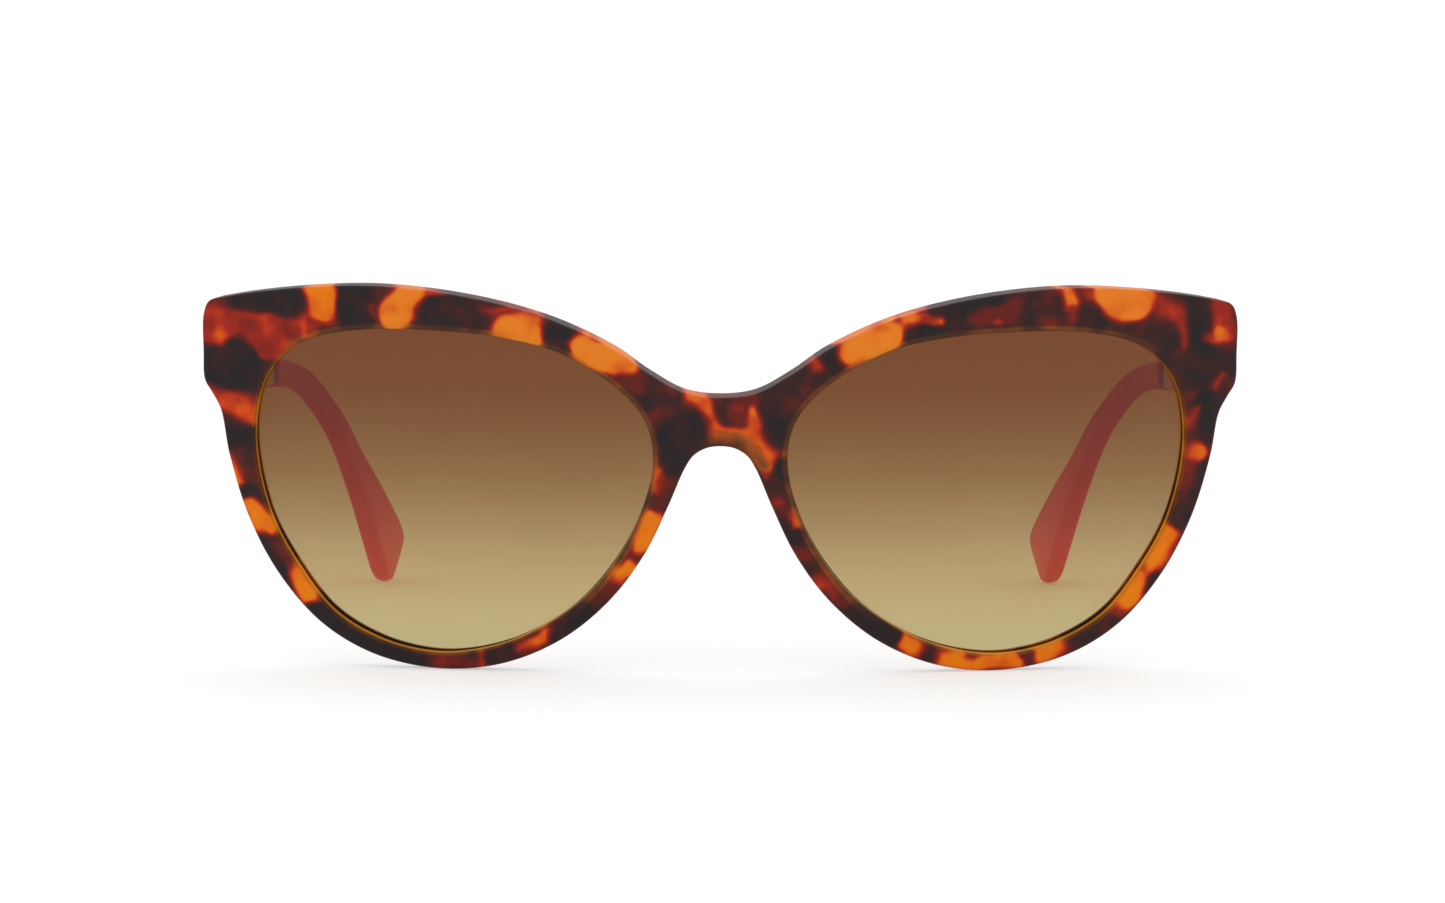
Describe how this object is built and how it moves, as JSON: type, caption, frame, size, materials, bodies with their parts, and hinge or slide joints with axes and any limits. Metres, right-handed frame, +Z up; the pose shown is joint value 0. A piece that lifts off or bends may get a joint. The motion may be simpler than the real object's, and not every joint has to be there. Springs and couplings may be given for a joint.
{
  "type": "cat eye sunglasses",
  "caption": "Cat eye sunglasses with a tortoise acetate front, brown gradient lenses, and flat metal temples with coral acetate tips that fold on barrel hinges.",
  "frame": {"origin": "on the table the open glasses stand on, under the middle of the bounding box", "axes": "+X to the right of someone looking at the front, the front faces -Y, the temples run towards +Y, +Z up; left and right in node names are the -X and +X sides"},
  "size_m": [0.1456, 0.1442, 0.0547],
  "materials": {
    "tortoise_acetate": "polished, mottled amber, red-brown and near black",
    "lens_tint": "smooth, brown fading to pale yellow-brown at the bottom",
    "pad_acetate": "polished",
    "temple_metal": "pale gold plated, satin",
    "screw_steel": "bright",
    "coral_acetate": "satin"
  },
  "bodies": {
    "front": {"front_frame": "tortoise_acetate", "lens_left": "lens_tint", "lens_right": "lens_tint", "nose_pad_left": "pad_acetate", "nose_pad_right": "pad_acetate", "hinge_leaf_front_left": "temple_metal", "hinge_leaf_front_right": "temple_metal", "leaf_screw_upper_left": "screw_steel", "leaf_screw_upper_right": "screw_steel", "leaf_screw_lower_left": "screw_steel", "leaf_screw_lower_right": "screw_steel", "pivot_screw_left": "screw_steel", "pivot_screw_right": "screw_steel"},
    "temple_left": {"hinge_leaf_temple_left": "temple_metal", "temple_arm_left": "temple_metal", "temple_tip_left": "coral_acetate"},
    "temple_right": {"hinge_leaf_temple_right": "temple_metal", "temple_arm_right": "temple_metal", "temple_tip_right": "coral_acetate"}
  },
  "joints": [
    {"name": "fold_right", "type": "hinge", "parent": "front", "child": "temple_right", "pos_m": [0.0672, -0.053, 0.0468], "axis": [0, 0, 1], "range_deg": [0, 82]},
    {"name": "fold_left", "type": "hinge", "parent": "front", "child": "temple_left", "pos_m": [-0.0672, -0.053, 0.0468], "axis": [0, 0, -1], "range_deg": [0, 74]}
  ]
}
